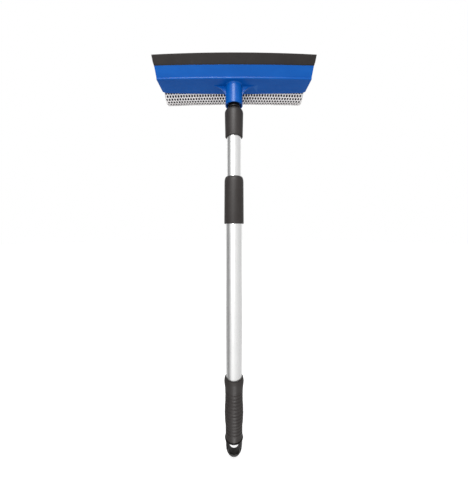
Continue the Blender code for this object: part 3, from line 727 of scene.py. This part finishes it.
def make_head(look):
    """Blue moulding: web and jaw with ribs behind them, a flared socket and two curved fins."""
    low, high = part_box("head_body")
    half = high.x
    rib_half, sunk = 1.0 * MM, 0.8 * MM
    piece = prism("washer_head", head_section(), -half, half)
    for x in RIB_PLACES:
        rib = prism("rib", valley_section(sunk), x - rib_half, x + rib_half)
        combine(piece, rib, "UNION")
    for side in (-1, 1):
        ends = sorted((side * (half - 0.05 * MM), side * (half - 2.2 * MM)))
        combine(piece, prism("end_wall", valley_section(sunk), *ends), "UNION")

    # Socket, flared into the web by a small fillet
    mouth, mouth_r = low.z, 12.1 * MM
    boss_top = WEB_Z + WEB_THICK + 1.5 * MM
    flare = 1.6 * MM
    top_r = 11.6 * MM
    socket = turned("socket", [
        (0.0, mouth), (mouth_r, mouth), (top_r + 0.05 * MM, WEB_Z - flare),
        *arc(top_r + flare, WEB_Z - flare, flare, flare, 180, 100, 8),
        (top_r + flare, WEB_Z + 0.4 * MM), (6.5 * MM, WEB_Z + MM), (6.0 * MM, boss_top), (0.0, boss_top)])
    combine(piece, socket, "UNION")

    chamfer_r, entry_r, thread_r, bore_top = 10.7 * MM, 10.25 * MM, 8.0 * MM, 477.2 * MM
    bore = turned("bore", [
        (0.0, mouth - MM), (chamfer_r, mouth - MM), (chamfer_r, mouth), (entry_r, mouth + 0.5 * MM),
        (entry_r, mouth + 4.0 * MM), (thread_r, mouth + 5.5 * MM), (thread_r, bore_top),
        (0.0, bore_top)])
    combine(piece, bore, "DIFFERENCE")

    # The web's rear corners are cut off, and the wall has a hole for each screw
    cut = 4.5 * MM
    edge_y = by_pad(pad_up_at(WEB_Z, GAP), GAP)[0]
    for side in (-1, 1):
        corner = [(side * (half - cut), edge_y + MM), (side * (half + MM), edge_y + MM),
                  (side * (half + MM), edge_y - cut - MM)]
        combine(piece, prism("corner", corner, WEB_Z - MM, WEB_Z + WEB_THICK, "Z"), "DIFFERENCE")
    for x in SCREW_PLACES:
        combine(piece, across_wall("hole", 3.7 * MM, x, 1.5 * MM, 6.0 * MM), "DIFFERENCE")
    slices(piece, half, 24)
    sweep(piece, half)
    soften(piece, 0.35 * MM, 3, 28.0)

    # The fins come after the bevel, with a blunt end, so that the web round them stays flat
    fin_r, fin_top, blunt = 16.0 * MM, WEB_Z + MM, 0.6 * MM
    fin_root, fin_end, fin_low = 11.2 * MM, 27.4 * MM, WEB_Z - fin_r - blunt
    for side in (-1, 1):
        curve = arc(side * fin_end, fin_low, fin_r, fin_r, 90, 90 + side * 88, 32)
        outline = [(side * fin_root, fin_top), (side * fin_end, fin_top), *curve,
                   (side * fin_root, fin_low)]
        fin = prism("fin", outline, -FIN_THICK / 2, FIN_THICK / 2, "Y")
        combine(piece, soften(fin, 0.25 * MM, 3, 60.0), "UNION")
    clean_normals(piece)
    return place(piece, "upper_pole", "blue_plastic", look, "head_body")


def make_blade(look):
    """Rubber blade: bulb in the slot, square working edge, with a slight bow and ripple."""
    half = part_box("squeegee_blade")[1].x
    middle = LIP + SLOT / 2
    bulb = BULB_R - GAP
    thin, edge = BLADE_THICK / 2, 0.2 * MM
    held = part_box("head_body")[1].x - 0.2 * MM
    angle = math.degrees(math.asin(thin / bulb))
    local = arc(BULB_HEIGHT, middle, bulb, bulb, angle, 360 - angle, 24)
    strip = 12
    root = local[-1][0]
    for number in range(1, strip):
        local.append((root + (BLADE_TOP - root) * number / strip, middle - thin))
    local += arc(BLADE_TOP - edge, middle - thin + edge, edge, edge, -90, 0, 3)
    local += arc(BLADE_TOP - edge, middle + thin - edge, edge, edge, 0, 90, 3)
    for number in range(strip - 1, 0, -1):
        local.append((root + (BLADE_TOP - root) * number / strip, middle + thin))
    bm = bmesh.new()
    stations = 96
    rings = []
    for station in range(stations + 1):
        x = -half + 2 * half * station / stations
        ring = []
        for up, back in local:
            free = max(0.0, (up - JAW_HEIGHT) / (BLADE_TOP - JAW_HEIGHT))
            ripple = noise.noise(Vector((x / (26 * MM), 3.7, 0.0))) * 0.35 * MM * free
            droop = 0.9 * MM * (x / half) ** 2 * free
            y, z = in_jaw(up - droop, back + ripple)
            flare = min(1.0, max(0.0, (up - JAW_HEIGHT + MM) / (4.0 * MM)))
            root_half = held + (half - held) * flare
            ring.append(bm.verts.new((x * root_half / half, y, z)))
        rings.append(ring)
    skin(bm, rings)
    bm.faces.new(rings[0])
    bm.faces.new(rings[-1][::-1])
    piece = link("rubber_blade", bm, 40.0)
    sweep(piece, half)
    return place(piece, "upper_pole", "blade_rubber", look, "squeegee_blade")


def make_screw(number, x, look):
    """Pan-head screw with a cross recess."""
    head_r, head_low, head_high = 4.6 * MM, 5.3 * MM, 7.3 * MM
    dome = [(0.0, head_low), (head_r, head_low), (head_r, head_low + 0.5 * MM)]
    dome += arc(0.0, head_low + 0.5 * MM, head_r, head_high - head_low - 0.5 * MM, 8, 90, 10)[:-1]
    piece = turned(f"pan_screw_{number}", dome + [(0.0, head_high)], 48)
    shank = turned("shank", [(0.0, 1.5 * MM), (1.3 * MM, 1.9 * MM), (1.3 * MM, 6.0 * MM),
                             (0.0, 6.0 * MM)], 32)
    combine(piece, shank, "UNION")
    for turn in (0.0, 90.0):
        slot = [(-0.45 * MM, 6.3 * MM), (0.45 * MM, 6.3 * MM), (0.55 * MM, 8 * MM), (-0.55 * MM, 8 * MM)]
        cutter = prism("recess", slot, -1.6 * MM, 1.6 * MM)
        cutter.data.transform(Matrix.Rotation(math.radians(turn + 17.0 * number), 4, "Z"))
        combine(piece, cutter, "DIFFERENCE")
    y, z = by_pad(SCREW_UP, 0.0)
    lean = Matrix.Rotation(math.pi / 2 + PAD_TILT, 4, "X")
    piece.data.transform(Matrix.Translation((x, y, z)) @ lean)
    soften(piece, 0.12 * MM, 2, 35.0)
    return place(piece, "upper_pole", "steel", look, f"pad_screw_{number}")


# ---------------------------------------------------------------- sponge and net

def pad_point(x, along, radius):
    """Point on the pad's section at a share of the way round it, at a radius from its middle line."""
    straight = PAD_STRAIGHT
    bend = math.pi * PAD_R
    walk = (along % 1.0) * (2 * straight + 2 * bend)
    if walk < bend:
        angle = math.pi + walk / PAD_R
        across, up = radius * math.cos(angle), radius * math.sin(angle)
    elif walk < bend + straight:
        across, up = radius, walk - bend
    elif walk < 2 * bend + straight:
        angle = (walk - bend - straight) / PAD_R
        across, up = radius * math.cos(angle), straight + radius * math.sin(angle)
    else:
        across, up = -radius, 2 * bend + 2 * straight - walk
    cos, sin = math.cos(PAD_TILT), math.sin(PAD_TILT)
    low = max(0.0, min(1.0, 1.0 - up / straight))
    lift = PAD_LIFT * low * (1.0 - (x / PAD_HALF) ** 2)
    sag = 0.9 * MM * low * min(0.0, x / PAD_HALF)
    return Vector((x, PAD_LOW_Y + across * cos - up * sin,
                   PAD_LOW_Z + across * sin + up * cos + lift + sag))


def make_sponge(look):
    """Foam block under the net, with soft ends."""
    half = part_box("sponge_pad")[1].x - 0.4 * MM
    radius = PAD_R - 1.3 * MM
    edge = 2.2 * MM
    around, along = 160, 60
    bm = bmesh.new()
    stations = [(-half + edge * (1 - math.cos(a)), radius - edge * (1 - math.sin(a)))
                for a in (math.radians(d) for d in range(0, 91, 15))]
    stations += [(-half + edge + 2 * (half - edge) * n / along, radius) for n in range(1, along)]
    stations += [(-x, r) for x, r in stations[:7][::-1]]
    rings = []
    for x, r in stations:
        ring = []
        for number in range(around):
            point = pad_point(x, number / around, r)
            point += (point - pad_point(x, number / around, 0.0)).normalized() * (
                noise.noise(point / (7 * MM)) * 0.15 * MM)
            ring.append(bm.verts.new(point))
        rings.append(ring)
    skin(bm, rings)
    bm.faces.new(rings[0])
    bm.faces.new(rings[-1][::-1])
    piece = link("foam_sponge", bm, 60.0)
    place(piece, "upper_pole", "sponge_foam", look, "sponge_pad")
    return piece


def net_point(half, across, along, raised):
    """Point on the net: round the pad, and folded in over its two ends."""
    fold = 1.1 * MM
    radius = PAD_R - 0.5 * MM
    side = math.copysign(1.0, across)
    beyond = abs(across) - (half - fold)
    if beyond <= 0.0:
        x, r, out = abs(across), radius, 1.0
    elif beyond < fold * math.pi / 2:
        turn = beyond / fold
        x = half - fold + fold * math.sin(turn)
        r = radius - fold + fold * math.cos(turn)
        out = math.cos(turn)
    else:
        x, r, out = half, radius - fold - (beyond - fold * math.pi / 2), 0.0
    point = pad_point(side * x, along, r)
    outward = (pad_point(0, along, PAD_R) - pad_point(0, along, 0.0)).normalized()
    normal = outward * out + Vector((side, 0, 0)) * math.sqrt(max(0.0, 1 - out * out))
    wander = noise.noise(point / (11 * MM)) * 0.22 * MM
    return point + normal * (raised + wander)


def make_net(look):
    """Net sleeve: a lattice of staggered oval holes with rounded strands, closed over the ends."""
    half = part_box("net_cover")[1].x - 0.3 * MM
    folded = half + 10.0 * MM
    columns = round(2 * folded / HOLE_PITCH)
    pitch = 2 * folded / columns
    ring_points = 12
    hole_wide, hole_tall, squareness = 0.34, 0.42, 2.5
    bm = bmesh.new()
    corners = {}

    def corner(column_halves, row):
        key = (column_halves, row % NET_ROWS)
        if key not in corners:
            across = -folded + column_halves * pitch / 2
            corners[key] = bm.verts.new(net_point(half, across, row / NET_ROWS, 0.16 * MM))
        return corners[key]

    for row in range(NET_ROWS):
        shift = row % 2
        for column in range(columns - shift):
            left = 2 * column + shift
            middle = -folded + (left + 1) * pitch / 2
            jitter = noise.noise(Vector((column * 0.9, row * 0.9, 5.0))) * 0.12
            rim = [corner(left + n, row) for n in (0, 1, 2)]
            rim += [corner(left + n, row + 1) for n in (2, 1, 0)]
            hole = []
            for number in range(ring_points):
                angle = math.radians(225.0) + math.tau * number / ring_points
                cos, sin = math.cos(angle), math.sin(angle)
                cos = math.copysign(abs(cos) ** (2 / squareness), cos)
                sin = math.copysign(abs(sin) ** (2 / squareness), sin)
                across = middle + pitch * (hole_wide + 0.2 * jitter) * cos
                along = (row + 0.5 + jitter * 0.4 + hole_tall * sin) / NET_ROWS
                hole.append(bm.verts.new(net_point(half, across, along, -0.08 * MM)))
            for number in range(6):
                first, second = 2 * number, 2 * number + 1
                third = (2 * number + 2) % ring_points
                here, after = rim[number], rim[(number + 1) % 6]
                bm.faces.new((here, hole[second], hole[first]))
                bm.faces.new((here, after, hole[second]))
                bm.faces.new((after, hole[third], hole[second]))
    mesh = bpy.data.meshes.new("net_sleeve")
    bmesh.ops.recalc_face_normals(bm, faces=bm.faces)
    bm.to_mesh(mesh)
    bm.free()
    mesh.shade_smooth()
    piece = bpy.data.objects.new("net_sleeve", mesh)
    bpy.context.scene.collection.objects.link(piece)
    thick = piece.modifiers.new("yarn", "SOLIDIFY")
    thick.thickness = NET_THICK
    thick.offset = 0.0
    evaluated(piece)
    place(piece, "upper_pole", "netting", look, "net_cover")
    return piece


def make_net_end(side, look):
    """Welded patch that closes the net over one end of the sponge."""
    x = side * (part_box("net_cover")[1].x - 0.55 * MM)
    width, thick = 5.6 * MM, 0.5 * MM
    around, rings_count = 96, 6
    bm = bmesh.new()
    rings = []
    for ring in range(rings_count + 1):
        share = ring / rings_count
        points = []
        for number in range(around):
            point = pad_point(x, number / around, width * share)
            dome = thick * math.sqrt(max(0.0, 1.0 - share ** 4))
            crimp = 0.12 * MM * math.sin(math.tau * 40 * number / around) * share * (1 - share) * 4
            points.append(bm.verts.new(point + Vector((side * (dome + crimp), 0, 0))))
        rings.append(points)
    skin(bm, rings)
    back = [bm.verts.new(v.co - Vector((side * 0.3 * MM, 0, 0))) for v in rings[-1]]
    skin(bm, [rings[-1], back])
    bm.faces.new(back)
    piece = link(f"net_end_{'left' if side < 0 else 'right'}", bm, 50.0)
    return place(piece, "upper_pole", "netting", look)


# ---------------------------------------------------------------- studio

def make_lamp(name, spot, size, power, aim):
    """A soft rectangular lamp turned to a height on the pole's axis, unseen by the camera."""
    lamp = bpy.data.lights.new(name, "AREA")
    lamp.shape = "RECTANGLE"
    lamp.size, lamp.size_y = size
    lamp.energy = power
    holder = bpy.data.objects.new(name, lamp)
    bpy.context.scene.collection.objects.link(holder)
    holder.location = spot
    holder.rotation_euler = (Vector((0, 0, aim)) - Vector(spot)).to_track_quat("-Z", "Y").to_euler()
    holder.visible_camera = False
    return holder


def make_stage():
    """Pale floor, and a white backdrop that only the camera sees, as the room is shaped for metal."""
    bm = bmesh.new()
    bmesh.ops.create_grid(bm, x_segments=24, y_segments=24, size=FLOOR_HALF)
    floor = link("floor", bm)
    floor.location.z = cad_low.z - FLOOR_GAP
    floor.data.materials.append(floor_paint())
    bm = bmesh.new()
    bmesh.ops.create_uvsphere(bm, u_segments=64, v_segments=32, radius=BACKDROP_R)
    backdrop = link("backdrop", bm)
    backdrop.data.materials.append(backdrop_paint())
    for prop in (floor, backdrop):
        prop.visible_glossy = False
        prop.visible_diffuse = False
        prop.visible_shadow = False
    backdrop.visible_transmission = False
    backdrop.visible_volume_scatter = False


def make_room():
    """World light whose brightness goes by bearing, dimmed below the floor's far side."""
    world = bpy.data.worlds.new("studio")
    bpy.context.scene.world = world
    world.use_nodes = True
    tree = world.node_tree
    background = tree.nodes["Background"]
    direction = tree.nodes.new("ShaderNodeTexCoord").outputs["Generated"]
    split = add_node(tree, "ShaderNodeSeparateXYZ", {0: direction})
    front = add_node(tree, "ShaderNodeMath", {0: split.outputs["Y"], 1: -1.0}, operation="MULTIPLY")
    bearing = add_node(tree, "ShaderNodeMath", {0: split.outputs["X"], 1: front.outputs[0]},
                       operation="ARCTAN2")
    turn = add_node(tree, "ShaderNodeMapRange", {"Value": bearing.outputs[0], "From Min": -math.pi,
                                                 "From Max": math.pi})
    ramp = add_node(tree, "ShaderNodeValToRGB", {"Fac": turn.outputs[0]})
    stops = [((degrees + 180.0) / 360.0, (level, level, level)) for degrees, level in ROOM]
    tree.links.new(fill_ramp(ramp, stops), background.inputs["Color"])

    shares = [add_node(tree, "ShaderNodeMapRange", {"Value": split.outputs[axis], "From Min": start,
                                                    "From Max": end}).outputs[0]
              for axis, start, end in DIM_RANGES]
    both = add_node(tree, "ShaderNodeMath", dict(enumerate(shares)), operation="MULTIPLY")
    strength = add_node(tree, "ShaderNodeMapRange", {
        "Value": both.outputs[0], "To Min": ROOM_STRENGTH, "To Max": ROOM_STRENGTH * DIM_SHARE})
    tree.links.new(strength.outputs[0], background.inputs["Strength"])


def make_studio():
    """Stage, room and lamps, with colours shown as they are."""
    make_stage()
    make_room()
    for lamp in LAMPS:
        make_lamp(*lamp)
    for lamp in GLOSS_LAMPS:
        make_lamp(*lamp).visible_diffuse = False
    bpy.context.scene.view_settings.view_transform = "Standard"


def make_camera():
    """Wide-angle camera close in front of the pole, a little below the head, tipped slightly down."""
    data = bpy.data.cameras.new("camera")
    data.sensor_width = 36.0
    data.lens = LENS
    data.clip_start = 0.01
    camera = bpy.data.objects.new("camera", data)
    bpy.context.scene.collection.objects.link(camera)
    camera.location = CAMERA_SPOT
    camera.rotation_euler = (math.radians(90.0 - CAMERA_DIP), 0.0, 0.0)
    bpy.context.scene.camera = camera


# ---------------------------------------------------------------- assembly

make_camera()
make_studio()

metal, grip, plastic = aluminium(), rubber(), black_plastic()
blue, steel, yarn = blue_plastic(), zinc_steel(), netting()

make_tube("outer_tube", 0.9 * MM, "handle", metal)
make_tube("inner_tube", 0.85 * MM, "upper_pole", metal)
make_grip(grip)
make_hang_cap(plastic)
make_collar("lower_collar", "tube_collar", 11.0 * MM, 13.75 * MM, 347.0 * MM, 14.3 * MM,
            10.4 * MM, 350.0 * MM, "handle", grip)
make_collar("upper_collar", "tip_collar", 9.3 * MM, 13.0 * MM, 441.5 * MM, 12.4 * MM,
            8.3 * MM, 441.3 * MM, "upper_pole", grip)
make_threaded_tip(plastic)

make_head(blue)
make_blade(blade_rubber())
for number, x in enumerate(SCREW_PLACES, start=1):
    make_screw(number, x, steel)
make_sponge(foam())
make_net(yarn)
for side in (-1, 1):
    make_net_end(side, yarn)

# CAD nodes that show as they are, or only inside the pole, keep their shape and get a finish
bushing = nylon()
finishes = {"guide_bush": bushing, "expander_sleeve": bushing, "lock_cone": plastic,
            "lock_spindle": plastic, "spindle_stop": steel, "spindle_pin": steel, "tip_pin": steel,
            "pad_backing_plate": blue}
for node, look in finishes.items():
    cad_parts[node].data.materials.clear()
    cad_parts[node].data.materials.append(look)

for name, pieces in GLOSSY.items():
    lit = bpy.data.collections.new(name)
    for piece in pieces:
        lit.objects.link(bpy.data.objects[piece])
    bpy.data.objects[name].light_linking.receiver_collection = lit
